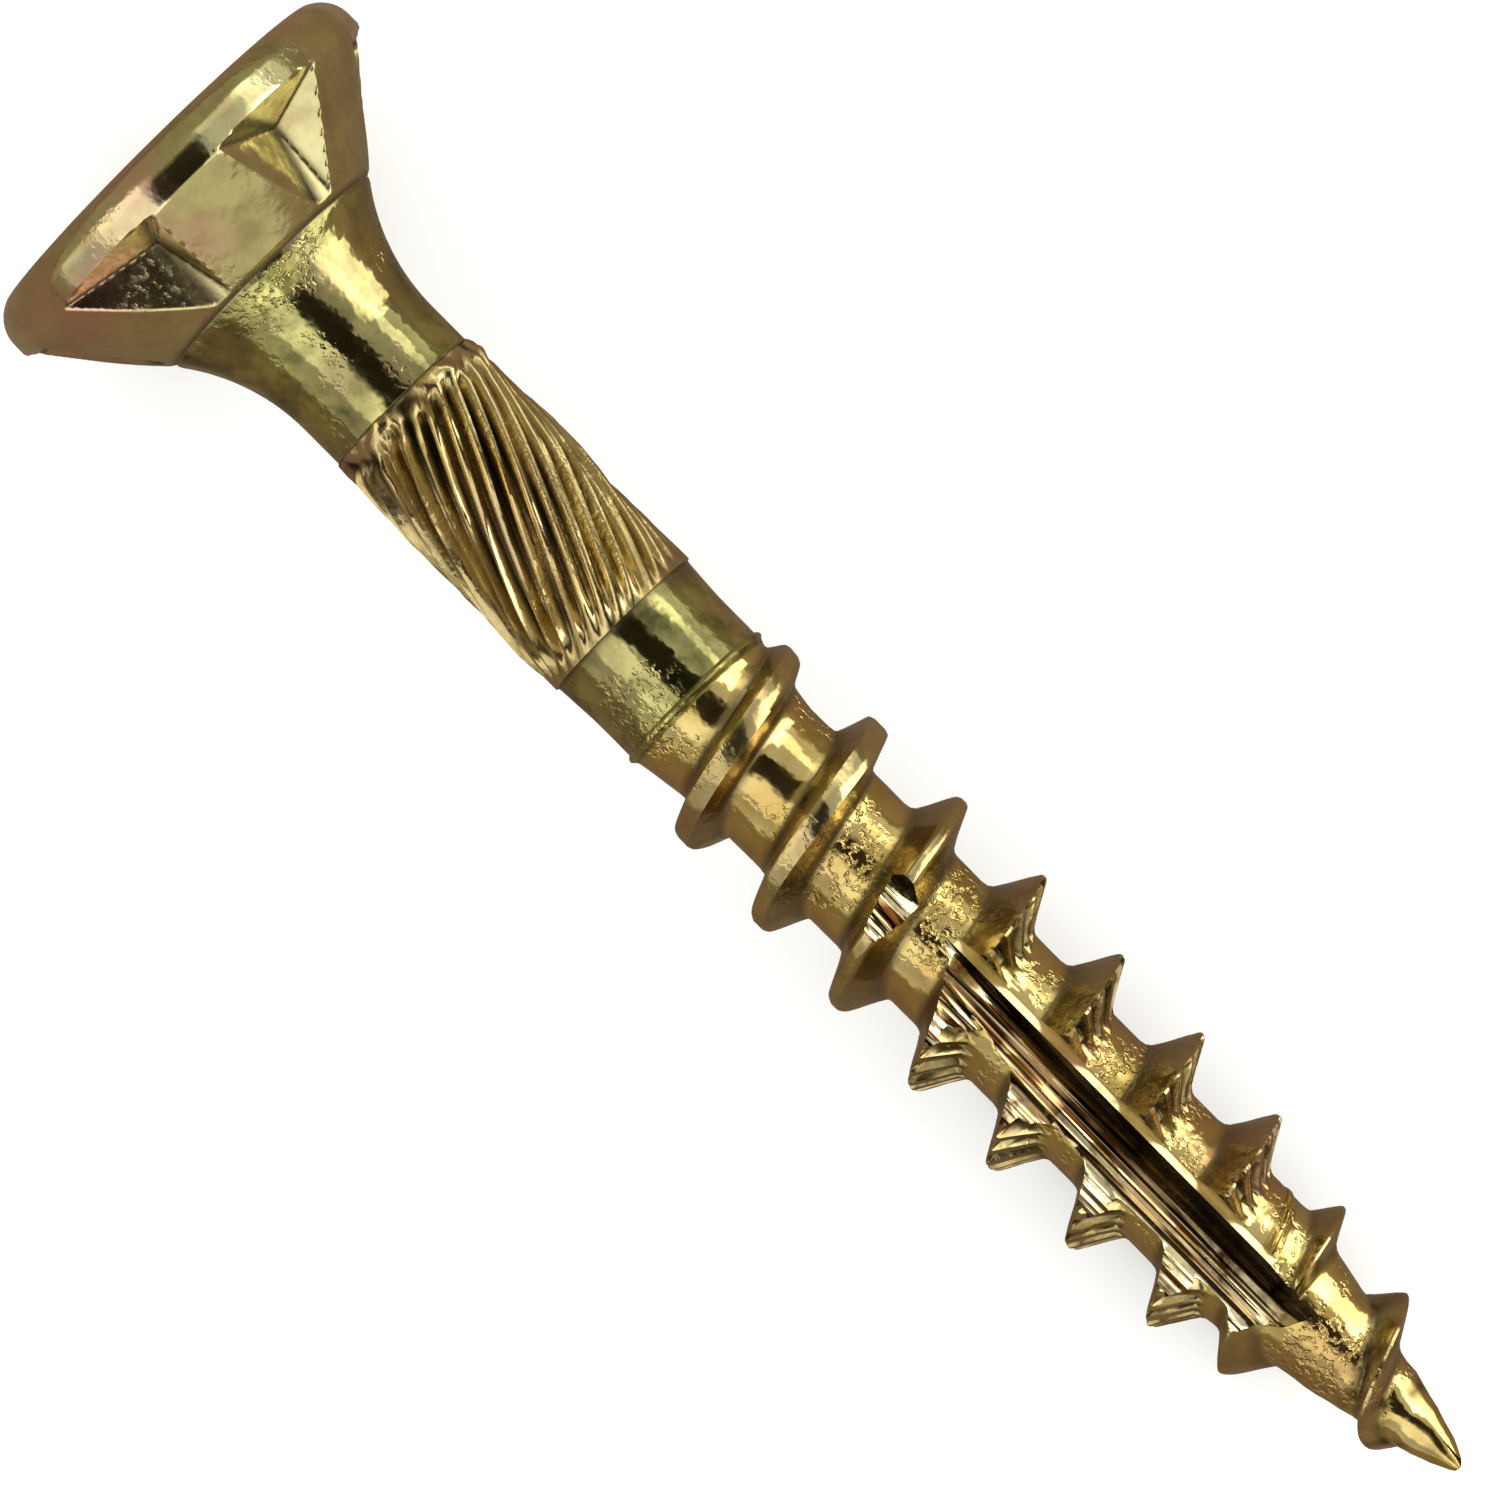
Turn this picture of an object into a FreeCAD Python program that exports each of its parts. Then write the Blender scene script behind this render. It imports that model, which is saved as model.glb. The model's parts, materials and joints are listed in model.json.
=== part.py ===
import FreeCAD, Part
import math
import os

import Sketcher

# A flat head wood screw in millimetres: its axis is X, from the head top at 0 to the point.
# Angles about the axis count from Y towards Z, and the side with the flute faces Z.

SIZES = [
    ("overall_length", 38.1, "head top to blunt point"),
    ("head_top_radius", 4.38, "flat top of the head"),
    ("rim_radius", 4.85, "widest part of the head"),
    ("rim_shoulder_x", 0.72, "where the rounded top edge ends"),
    ("rim_end_x", 1.12, "where the underside begins"),
    ("cone_end_x", 3.3, "where the underside meets the flare"),
    ("cone_end_radius", 2.87, "underside at the flare"),
    ("flare_end_x", 6.2, "where the flare runs into the neck"),
    ("neck_radius", 1.83, "smooth neck"),
    ("knurl_start_x", 7.2, "head end of the knurl"),
    ("knurl_end_x", 13.65, "point end of the knurl"),
    ("knurl_core_radius", 1.6, "solid core under the knurl"),
    ("knurl_valley_radius", 1.72, "bottom of the knurl valleys"),
    ("knurl_crest_radius", 1.96, "top of the knurl ridges"),
    ("knurl_ridges", 30, "number of knurl ridges"),
    ("knurl_twist", 98, "turn of each ridge over the knurl in degrees"),
    ("collar_radius", 1.86, "collar at the knurl"),
    ("collar_waist_radius", 1.8, "collar before the ring"),
    ("ring_start_x", 15.68, "head side of the raised ring"),
    ("ring_crest_start_x", 15.73, "head side of the ring crest"),
    ("ring_crest_end_x", 15.83, "point side of the ring crest"),
    ("ring_end_x", 15.88, "point side of the raised ring"),
    ("ring_radius", 1.88, "raised ring"),
    ("ring_foot_radius", 1.78, "shank after the ring"),
    ("shank_core_radius", 1.0, "solid core under the rolled shank"),
    ("shank_start_x", 15.0, "head end of the rolled shank, inside the collar"),
    ("shank_start_radius", 1.72, "head end of the rolled shank, inside the collar"),
    ("shank_shoulder_x", 15.95, "rolled shank just after the ring"),
    ("shank_shoulder_radius", 1.76, "rolled shank just after the ring"),
    ("root_start_x", 17.6, "where the even thread root begins"),
    ("root_radius", 1.53, "thread root"),
    ("shank_end_x", 34.3, "point end of the rolled shank, inside the taper"),
    ("shank_end_radius", 1.1, "point end of the rolled shank, inside the taper"),
    ("taper_start_x", 32.3, "where the point begins to taper"),
    ("taper_mid_x", 34.1, "end of the fuller part of the taper"),
    ("taper_mid_radius", 1.17, "end of the fuller part of the taper"),
    ("taper_late_x", 36.3, "where the point grows steep"),
    ("taper_late_radius", 0.73, "where the point grows steep"),
    ("tip_x", 37.95, "start of the blunt tip"),
    ("tip_radius", 0.2, "start of the blunt tip"),
    ("tip_end_radius", 0.11, "flat end of the tip"),
    ("fold_start_x", 37.2, "inner end of the fold in the tip"),
    ("fold_start_y", 0.2, "inner end of the fold in the tip"),
    ("fold_open_x", 38.3, "open end of the fold, beyond the tip"),
    ("fold_upper_y", 0.13, "upper side of the open fold"),
    ("fold_lower_y", 0.04, "lower side of the open fold"),
    ("fold_floor_z", -0.06, "bottom of the fold"),
    ("fold_height", 1, "reach of the fold above its bottom"),
    ("dent_count", 6, "dents in the underside"),
    ("dent_first_angle", 60, "middle of the first dent in degrees"),
    ("dent_rim_x", 1.1, "rim side of a dent"),
    ("dent_rim_half_angle", 18.3, "half width of a dent at the rim in degrees"),
    ("dent_neck_x", 3.22, "neck end of a dent"),
    ("dent_neck_shift", -8, "turn of the neck end in degrees"),
    ("dent_neck_half_angle", 4.5, "half width of a dent at the neck in degrees"),
    ("dent_deep_x", 1.7, "deepest point of a dent"),
    ("dent_deep_radius", 3.68, "deepest point of a dent"),
    ("dent_deep_shift", -8, "turn of the deepest point in degrees"),
    ("dent_reach", 1.6, "size of the cut against the dent itself"),
    ("drive_outer_radius", 2.215, "reach of the six lobes of the drive recess"),
    ("drive_lobe_radius", 0.37, "round of each lobe"),
    ("drive_flank_radius", 0.93, "hollow between two lobes"),
    ("drive_turn", 15, "turn of the first lobe in degrees"),
    ("drive_depth", 2.2, "depth of the drive recess"),
    ("thread_start_x", 16.54, "thread crest on the Y side"),
    ("thread_pitch", 2.304, "advance of the thread for each turn"),
    ("point_ridge_start_x", 31.6, "crest of the point ridge on the Y side"),
    ("point_ridge_pitch", 3.25, "advance of the point ridge for each turn"),
    ("point_ridge_step", 12, "step along the point ridge in degrees"),
    ("point_ridge_sink", 0.12, "depth of the point ridge below the taper"),
    ("shank_columns", 48, "columns about the rolled shank, two for each notch"),
    ("flute_corner_y", -0.08, "corner of the flute"),
    ("flute_corner_z", 0.8, "corner of the flute"),
    ("flute_lean", 20, "lean of the flute wall in degrees"),
    ("flute_full_x", 29.7, "where the flute reaches its full depth"),
    ("flute_end_x", 33.25, "point end of the flute floor"),
    ("flute_exit_x", 35.1, "point end of the flute at the height of the cut"),
    ("flute_width", 1.85, "width of the flute floor"),
    ("cutter_radius", 30, "disc that leaves the run-out of the flute"),
    ("cutter_height", 2.2, "height of the cut above the flute floor"),
    ("rest_crest_x", 29.8, "crest that touches the floor when the screw lies"),
    ("rest_crest_radius", 2.49, "crest that touches the floor when the screw lies"),
]

# Stations of a ridge: turns from the Y side, crest radius, half width at the root,
# half width at the crest and depth of the notches.
THREAD_STATIONS = [
    (-0.38, 1.75, 0.34, 0.24, 0),
    (-0.2, 1.92, 0.42, 0.24, 0),
    (0.0, 2.11, 0.46, 0.2, 0),
    (0.5, 2.26, 0.46, 0.19, 0),
    (1.0, 2.3, 0.48, 0.24, 0),
    (1.5, 2.4, 0.52, 0.14, 0),
    (2.0, 2.43, 0.56, 0.12, 0),
    (2.5, 2.44, 0.58, 0.13, 0),
    (2.75, 2.48, 0.6, 0.08, 0),
    (2.9, 2.53, 0.6, 0.05, 0.2),
    (5.0, 2.54, 0.6, 0.05, 0.2),
    (6.0, 2.5, 0.6, 0.05, 0.2),
    (6.6, 2.46, 0.6, 0.05, 0.12),
    (6.75, 2.3, 0.54, 0.05, 0),
    (7.0, 2.09, 0.42, 0.05, 0),
    (7.2, 1.6, 0.2, 0.04, 0),
    (7.3, 1.4, 0.1, 0.04, 0),
]

POINT_STATIONS = [
    (-0.05, 1.56, 0.1, 0.04, 0),
    (0.25, 1.6, 0.22, 0.04, 0),
    (0.5, 2.13, 0.58, 0.05, 0),
    (1.0, 1.72, 0.52, 0.05, 0),
    (1.25, 1.34, 0.3, 0.05, 0),
    (1.5, 1.06, 0.34, 0.06, 0),
    (1.72, 0.56, 0.14, 0.04, 0),
]

BLANK_OUTLINE = [
    ("0", "0"),
    ("0", "head_top_radius"),
    ("rim_shoulder_x", "rim_radius"),
    ("rim_end_x", "rim_radius"),
    ("cone_end_x", "cone_end_radius"),
    ("flare_end_x", "neck_radius"),
    ("knurl_start_x", "neck_radius"),
    ("knurl_start_x", "knurl_core_radius"),
    ("knurl_end_x", "knurl_core_radius"),
    ("knurl_end_x", "collar_radius"),
    ("ring_start_x", "collar_waist_radius"),
    ("ring_crest_start_x", "ring_radius"),
    ("ring_crest_end_x", "ring_radius"),
    ("ring_end_x", "ring_foot_radius"),
    ("ring_end_x", "shank_core_radius"),
    ("taper_mid_x", "shank_core_radius"),
    ("taper_mid_x", "taper_mid_radius"),
    ("taper_late_x", "taper_late_radius"),
    ("tip_x", "tip_radius"),
    ("overall_length", "tip_end_radius"),
    ("overall_length", "0"),
]

SHANK_OUTLINE = [
    ("shank_start_x", "shank_start_radius"),
    ("shank_shoulder_x", "shank_shoulder_radius"),
    ("root_start_x", "root_radius"),
    ("taper_start_x", "root_radius"),
    ("shank_end_x", "shank_end_radius"),
]

TAPER_OUTLINE = [
    ("taper_start_x", "root_radius"),
    ("taper_mid_x", "taper_mid_radius"),
    ("taper_late_x", "taper_late_radius"),
    ("tip_x", "tip_radius"),
]

FOLD_OUTLINE = [
    ("fold_start_x", "fold_start_y"),
    ("fold_open_x", "fold_lower_y"),
    ("fold_open_x", "fold_upper_y"),
]


def make_sheet(doc):
    """Puts every driving size in the spreadsheet and returns the sizes as the sheet holds them."""
    sheet = doc.addObject("Spreadsheet::Sheet", "sizes")
    sheet.Label = "sizes"
    for row, (name, value, note) in enumerate(SIZES, start=1):
        sheet.set(f"A{row}", name)
        sheet.set(f"B{row}", str(value))
        sheet.set(f"C{row}", note)
        sheet.setAlias(f"B{row}", name)
    doc.recompute()
    return {name: float(sheet.get(name)) for name, _, _ in SIZES}


def add_body(doc, name):
    body = doc.addObject("PartDesign::Body", name)
    body.Label = name
    return body


def add_sketch(body, name, role):
    """Adds a sketch on an origin plane of its body."""
    plane = next(item for item in body.Origin.OriginFeatures if item.Role == role)
    sketch = body.newObject("Sketcher::SketchObject", name)
    sketch.Label = name
    sketch.AttachmentSupport = [(plane, "")]
    sketch.MapMode = "FlatFace"
    return sketch


def add_feature(body, kind, name, sketch):
    feature = body.newObject(kind, name)
    feature.Label = name
    feature.Profile = sketch
    return feature


def tie(sketch, kind, *terms):
    """Adds a constraint whose value follows an expression, the last term."""
    index = sketch.addConstraint(Sketcher.Constraint(kind, *terms[:-1]))
    sketch.setExpression(f"Constraints[{index}]", terms[-1])


def tie_point(sketch, geometry, end, along, away):
    """Binds both coordinates of a sketch point to expressions; 0 puts it on an axis."""
    spot = sketch.getPoint(geometry, end)
    if along == away == "0":
        sketch.addConstraint(Sketcher.Constraint("Coincident", geometry, end, -1, 1))
        return
    for kind, axis, term, value in (("DistanceX", -2, along, spot.x), ("DistanceY", -1, away, spot.y)):
        if term == "0":
            sketch.addConstraint(Sketcher.Constraint("PointOnObject", geometry, end, axis))
        else:
            tie(sketch, kind, -1, 1, geometry, end, value, term)


def cell(name):
    return name if name == "0" else f"sizes.{name}"


def outline_spots(outline, size):
    """Turns pairs of size names into sketch points."""
    known = {**size, "0": 0.0}
    return [FreeCAD.Vector(known[x], known[y], 0) for x, y in outline]


def draw_outline(sketch, spots, bends):
    """Draws a closed outline; bends maps a stretch to a point that its arc passes through."""
    ends = []
    for index, spot in enumerate(spots):
        following = spots[(index + 1) % len(spots)]
        if index in bends:
            sketch.addGeometry(Part.Arc(spot, bends[index], following))
        else:
            sketch.addGeometry(Part.LineSegment(spot, following))
        forward = (sketch.getPoint(index, 1) - spot).Length < 1e-6
        ends.append((1, 2) if forward else (2, 1))
    for index in range(len(spots)):
        after = (index + 1) % len(spots)
        kind = "Tangent" if index in bends else "Coincident"
        sketch.addConstraint(Sketcher.Constraint(kind, index, ends[index][1], after, ends[after][0]))
    return ends


def arc_middle(free, level):
    """Gives a point halfway along an arc from free that ends along X at level."""
    across, rise = level.x - free.x, level.y - free.y
    radius = (across ** 2 + rise ** 2) / (2 * rise)
    sweep = 2 * math.atan2(abs(rise), abs(across)) / 2
    centre = FreeCAD.Vector(level.x, level.y - radius, 0)
    side = -1 if across > 0 else 1
    return centre + FreeCAD.Vector(side * abs(radius) * math.sin(sweep), radius * math.cos(sweep), 0)


def make_blank(doc, size):
    """The turned blank: head, neck, collar, root and point, with the drive recess and the fold."""
    body = add_body(doc, "blank")
    sketch = add_sketch(body, "blank_outline", "XY_Plane")
    spots = outline_spots(BLANK_OUTLINE, size)
    rim = BLANK_OUTLINE.index(("rim_shoulder_x", "rim_radius"))
    neck = BLANK_OUTLINE.index(("flare_end_x", "neck_radius"))
    bends = {index - 1: arc_middle(spots[index - 1], spots[index]) for index in (rim, neck)}
    ends = draw_outline(sketch, spots, bends)
    for index, (x, y) in enumerate(BLANK_OUTLINE):
        tie_point(sketch, index, ends[index][0], cell(x), cell(y))
    turned = add_feature(body, "PartDesign::Revolution", "turned_blank", sketch)
    turned.ReferenceAxis = (sketch, ["H_Axis"])
    turned.Angle = 360
    doc.recompute()

    recess = add_feature(body, "PartDesign::Pocket", "drive_recess", draw_drive(body, size))
    recess.setExpression("Length", "sizes.drive_depth")
    recess.Reversed = True
    doc.recompute()

    fold = add_sketch(body, "fold_outline", "XY_Plane")
    fold.setExpression("AttachmentOffset.Base.z", "sizes.fold_floor_z")
    draw_outline(fold, outline_spots(FOLD_OUTLINE, size), {})
    for index, (x, y) in enumerate(FOLD_OUTLINE):
        tie_point(fold, index, 1, cell(x), cell(y))
    slit = add_feature(body, "PartDesign::Pocket", "tip_fold", fold)
    slit.setExpression("Length", "sizes.fold_height")
    slit.Reversed = True
    doc.recompute()
    return body


def draw_drive(body, size):
    """Draws the six lobes and the six hollows of the drive recess as tangent arcs."""
    sketch = add_sketch(body, "drive_outline", "YZ_Plane")
    lobe, hollow = size["drive_lobe_radius"], size["drive_flank_radius"]
    near = size["drive_outer_radius"] - lobe
    half = math.radians(30)
    far = near * math.cos(half) + math.sqrt((lobe + hollow) ** 2 - (near * math.sin(half)) ** 2)
    touches = []
    for index in range(6):
        middle = math.radians(size["drive_turn"] + 60 * index)
        centre = polar(near, middle)
        for side in (-half, half):
            touches.append(centre + (polar(far, middle + side) - centre).normalize() * lobe)
    for index in range(6):
        middle = math.radians(size["drive_turn"] + 60 * index)
        first, second, third = (touches[(2 * index + k) % 12] for k in range(3))
        sketch.addGeometry(Part.Arc(first, polar(size["drive_outer_radius"], middle), second))
        sketch.addGeometry(Part.Arc(second, polar(far - hollow, middle + half), third))
    for index in range(6):
        arc, turn = 2 * index, f"(sizes.drive_turn + {60 * index}) * 1 deg"
        sketch.addConstraint(Sketcher.Constraint("Tangent", arc, 2, arc + 1, 2))
        sketch.addConstraint(Sketcher.Constraint("Tangent", arc + 1, 1, (arc + 2) % 12, 1))
        tie(sketch, "Radius", arc, lobe, "sizes.drive_lobe_radius")
        tie(sketch, "Radius", arc + 1, hollow, "sizes.drive_flank_radius")
        span = "(sizes.drive_outer_radius - sizes.drive_lobe_radius)"
        tie_point(sketch, arc, 3, f"{span} * cos({turn})", f"{span} * sin({turn})")
    return sketch


def polar(radius, angle):
    return FreeCAD.Vector(radius * math.cos(angle), radius * math.sin(angle), 0)


def make_flute(doc, size):
    """The material that a disc cutter with a square edge takes out along the shank."""
    body = add_body(doc, "flute_cut")
    sketch = add_sketch(body, "flute_path", "XZ_Plane")
    sketch.AttachmentOffset = FreeCAD.Placement(
        FreeCAD.Vector(0, size["flute_corner_z"], -size["flute_corner_y"]),
        FreeCAD.Rotation(FreeCAD.Vector(1, 0, 0), -size["flute_lean"]),
    )
    sketch.setExpression("AttachmentOffset.Base.y", "sizes.flute_corner_z")
    sketch.setExpression("AttachmentOffset.Base.z", "-sizes.flute_corner_y")
    sketch.setExpression("AttachmentOffset.Rotation.Angle", "-sizes.flute_lean * 1 deg")
    height, disc = size["cutter_height"], size["cutter_radius"]
    spots = [
        FreeCAD.Vector(size["flute_full_x"] - math.sqrt(2 * disc * height - height ** 2), height, 0),
        FreeCAD.Vector(size["flute_full_x"], 0, 0),
        FreeCAD.Vector(size["flute_end_x"], 0, 0),
        FreeCAD.Vector(size["flute_exit_x"], height, 0),
    ]
    draw_outline(sketch, spots, {0: arc_middle(spots[0], spots[1])})
    tie_point(sketch, 1, 1, "sizes.flute_full_x", "0")
    tie_point(sketch, 2, 1, "sizes.flute_end_x", "0")
    tie_point(sketch, 3, 1, "sizes.flute_exit_x", "sizes.cutter_height")
    tie(sketch, "Radius", 0, disc, "sizes.cutter_radius")
    sketch.addConstraint(Sketcher.Constraint("Horizontal", 3))
    pad = add_feature(body, "PartDesign::Pad", "flute_pad", sketch)
    pad.setExpression("Length", "sizes.flute_width")
    doc.recompute()
    return body


def around(x, radius, degrees):
    """A point at an angle about the axis of the screw."""
    angle = math.radians(degrees)
    return FreeCAD.Vector(x, radius * math.cos(angle), radius * math.sin(angle))


def flat_face(points):
    return Part.Face(Part.makePolygon(points + [points[0]]))


def closed_solid(faces):
    """Joins faces into one solid that faces outwards."""
    shell = Part.makeShell(faces)
    shell.sewShape()
    solid = Part.makeSolid(shell)
    if solid.Volume < 0:
        solid.reverse()
    return solid


def skin(sections):
    """Covers a row of matching closed sections with triangles and closes both ends."""
    faces = []
    for here, there in zip(sections, sections[1:]):
        for corner in range(len(here)):
            other = (corner + 1) % len(here)
            faces.append(flat_face([here[corner], here[other], there[other]]))
            faces.append(flat_face([here[corner], there[other], there[corner]]))
    return closed_solid(faces + [flat_face(sections[0]), flat_face(sections[-1])])


def read_stations(stations, turn):
    """Reads a station table at any turn."""
    for before, after in zip(stations, stations[1:]):
        if turn <= after[0]:
            break
    share = min(1.0, (turn - before[0]) / (after[0] - before[0]))
    return [a + (b - a) * share for a, b in zip(before[1:], after[1:])]


def radius_at(x, outline, size):
    """Reads the radius of an outline at a place along the axis."""
    spots = [(size[along], size[away]) for along, away in outline]
    if x <= spots[0][0]:
        return spots[0][1]
    for (x_before, before), (x_after, after) in zip(spots, spots[1:]):
        if x <= x_after:
            return before + (after - before) * (x - x_before) / (x_after - x_before)
    return spots[-1][1]


def ridge_corners(stations, turn, middle, outline, sink, bitten, size):
    """The foot, both corners of the crest and the other foot of a ridge, as places and radii."""
    crest, foot_half, crest_half, notch = read_stations(stations, turn)
    if sink:
        foot_half += (foot_half - crest_half) / (crest - radius_at(middle, outline, size)) * sink
    bite = notch if bitten else 0
    left, right = middle - foot_half, middle + foot_half - bite
    return [
        (left, radius_at(left, outline, size) - sink),
        (middle - crest_half, crest - 0.3 * bite),
        (middle + crest_half - 0.2 * bite, crest - 0.9 * bite),
        (right, radius_at(right, outline, size) - sink),
    ]


def shank_column(column, size):
    """Gives the marked corners of the rolled shank in one half plane through the axis."""
    count = round(size["shank_columns"])
    first, last = (round(THREAD_STATIONS[end][0] * count) for end in (0, -1))
    start, *clear, end = [(size[x], size[radius]) for x, radius in SHANK_OUTLINE]
    marks = []
    for step in range(first + (column - first) % count, last + 1, count):
        turn = step / count
        middle = size["thread_start_x"] + size["thread_pitch"] * turn
        corners = ridge_corners(THREAD_STATIONS, turn, middle, SHANK_OUTLINE, 0, step % 2 == 0, size)
        left, right = corners[0][0], corners[3][0]
        if start[0] < left and right < end[0]:
            marks += [((step - column, index), spot) for index, spot in enumerate(corners)]
            clear = [spot for spot in clear if not left - 0.1 < spot[0] < right + 0.1]
    marks += [(spot, spot) for spot in [start, *clear, end]]
    marks.sort(key=lambda mark: mark[1][0])
    return [(name, around(x, radius, 360 * column / count)) for name, (x, radius) in marks]


def stitch(here, there):
    """Fills the strip between two neighbouring columns with triangles."""
    names_here, names_there = ({name for name, _ in column} for column in (here, there))
    faces, low, high = [], 0, 0
    while low + 1 < len(here) or high + 1 < len(there):
        step_low = low + 1 < len(here) and here[low + 1][0] not in names_there
        step_high = high + 1 < len(there) and there[high + 1][0] not in names_here
        if not step_high or step_low:
            faces.append(flat_face([here[low][1], here[low + 1][1], there[high][1]]))
            low += 1
        if not step_low:
            faces.append(flat_face([here[low][1], there[high + 1][1], there[high][1]]))
            high += 1
    return faces


def make_shank(size):
    """The rolled shank with its thread, from inside the collar to inside the taper."""
    columns = [shank_column(column, size) for column in range(round(size["shank_columns"]) + 1)]
    faces = [flat_face([column[end][1] for column in columns[:-1]]) for end in (0, -1)]
    for here, there in zip(columns, columns[1:]):
        faces += stitch(here, there)
    return closed_solid(faces)


def make_point_ridge(size):
    """The steeper ridge that ends the thread on the tapered point."""
    first, last = POINT_STATIONS[0][0], POINT_STATIONS[-1][0]
    steps = round((last - first) * 360 / size["point_ridge_step"])
    sections = []
    for index in range(steps + 1):
        turn = first + (last - first) * index / steps
        middle = size["point_ridge_start_x"] + size["point_ridge_pitch"] * turn
        corners = ridge_corners(
            POINT_STATIONS, turn, middle, TAPER_OUTLINE, size["point_ridge_sink"], False, size)
        sections.append([around(x, radius, 360 * turn) for x, radius in corners])
    return skin(sections)


def make_knurl(size):
    """The knurl: a star with slanted ridges that replaces the shank between neck and collar."""
    start, end = size["knurl_start_x"], size["knurl_end_x"]
    ridges = round(size["knurl_ridges"])
    layers = round(size["knurl_twist"] / 10.5)
    sections = []
    for layer in range(layers + 1):
        share = layer / layers
        turn = size["knurl_twist"] * share
        corners = []
        for index in range(ridges):
            middle = turn + 360 * index / ridges
            valley = middle + 180 / ridges
            corners.append(around(start + (end - start) * share, size["knurl_crest_radius"], middle))
            corners.append(around(start + (end - start) * share, size["knurl_valley_radius"], valley))
        sections.append(corners)
    return skin(sections)


def make_dent(middle, size):
    """A slanted dent with three broad sides and a narrow end, cut well beyond the surface."""
    deep = around(size["dent_deep_x"], size["dent_deep_radius"], middle + size["dent_deep_shift"])
    rim_half, neck_half = size["dent_rim_half_angle"], size["dent_neck_half_angle"]
    neck = middle + size["dent_neck_shift"]
    slope = (size["rim_radius"] - size["cone_end_radius"]) / (size["cone_end_x"] - size["rim_end_x"])
    neck_radius = size["rim_radius"] - slope * (size["dent_neck_x"] - size["rim_end_x"])
    mouth = [
        around(size["dent_rim_x"], size["rim_radius"], middle - rim_half),
        around(size["dent_rim_x"], size["rim_radius"], middle + rim_half),
        around(size["dent_neck_x"], neck_radius, neck + neck_half),
        around(size["dent_neck_x"], neck_radius, neck - neck_half),
    ]
    outer = [deep + (corner - deep) * size["dent_reach"] for corner in mouth]
    faces = [flat_face([deep, outer[i], outer[(i + 1) % 4]]) for i in range(4)]
    faces += [flat_face([outer[0], outer[1], outer[2]]), flat_face([outer[0], outer[2], outer[3]])]
    return closed_solid(faces)


def add_shape(doc, name, shape):
    feature = doc.addObject("Part::Feature", name)
    feature.Label = name
    feature.Shape = shape
    return feature


def join(doc, name, pieces):
    union = doc.addObject("Part::MultiFuse", name)
    union.Label = name
    union.Shapes = pieces
    union.Refine = False
    return union


def carve(doc, name, base, tool):
    cut = doc.addObject("Part::Cut", name)
    cut.Label = name
    cut.Base = base
    cut.Tool = tool
    cut.Refine = False
    return cut


def lie_down(screw, size):
    """Lays the screw on its rim and one crest, with the flute up, over the middle of the floor."""
    run = size["rest_crest_x"] - size["rim_end_x"]
    tilt = math.degrees(math.atan2(size["rim_radius"] - size["rest_crest_radius"], run))
    screw.Placement = FreeCAD.Placement(
        FreeCAD.Vector(0, 0, 0), FreeCAD.Rotation(FreeCAD.Vector(0, 1, 0), tilt)
    )
    box = screw.Shape.optimalBoundingBox(False, False)
    screw.Placement.Base = FreeCAD.Vector(-box.Center.x, -box.Center.y, -box.ZMin)


def check(doc):
    """Stops the build when any object has failed."""
    for item in doc.Objects:
        if "Invalid" in item.State or "Error" in item.State:
            raise RuntimeError(f"{item.Label} has failed")
        if item.isDerivedFrom("Part::Feature") and not item.isDerivedFrom("Sketcher::SketchObject"):
            if item.Shape.isNull() or not item.Shape.isValid():
                raise RuntimeError(f"{item.Label} has no valid shape")


def build():
    doc = FreeCAD.newDocument("flat_head_wood_screw")
    size = make_sheet(doc)
    blank = make_blank(doc, size)
    flute = make_flute(doc, size)
    knurl = add_shape(doc, "knurl", make_knurl(size))
    shank = add_shape(doc, "rolled_shank", make_shank(size))
    point = add_shape(doc, "point_ridge", make_point_ridge(size))
    dents = []
    for index in range(round(size["dent_count"])):
        middle = size["dent_first_angle"] + 360 * index / size["dent_count"]
        dents.append(add_shape(doc, f"dent_{index + 1}", make_dent(middle, size)))

    headed = carve(doc, "headed_blank", blank, join(doc, "dents", dents))
    rolled = join(doc, "rolled_screw", [headed, knurl, shank, point])
    screw = carve(doc, "wood_screw", rolled, flute)
    doc.recompute()
    lie_down(screw, size)
    check(doc)

    os.makedirs("parts", exist_ok=True)
    screw.Shape.exportStep("parts/wood_screw.step")


build()
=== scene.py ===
import json
import math

import bpy
import numpy as np
from mathutils import Matrix, Vector, noise


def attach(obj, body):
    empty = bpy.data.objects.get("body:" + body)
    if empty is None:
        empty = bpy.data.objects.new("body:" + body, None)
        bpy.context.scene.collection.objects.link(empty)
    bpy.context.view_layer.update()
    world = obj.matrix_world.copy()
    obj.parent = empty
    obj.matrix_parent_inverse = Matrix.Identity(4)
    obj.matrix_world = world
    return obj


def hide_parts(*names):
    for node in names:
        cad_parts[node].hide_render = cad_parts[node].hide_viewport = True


# A yellow zinc plated flat head wood screw, rebuilt over its CAD node.
# Shapes are worked out in millimetres along the screw: x from the head top to the point,
# angles in degrees from the Y side towards the flute, which lies at 90.

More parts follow.
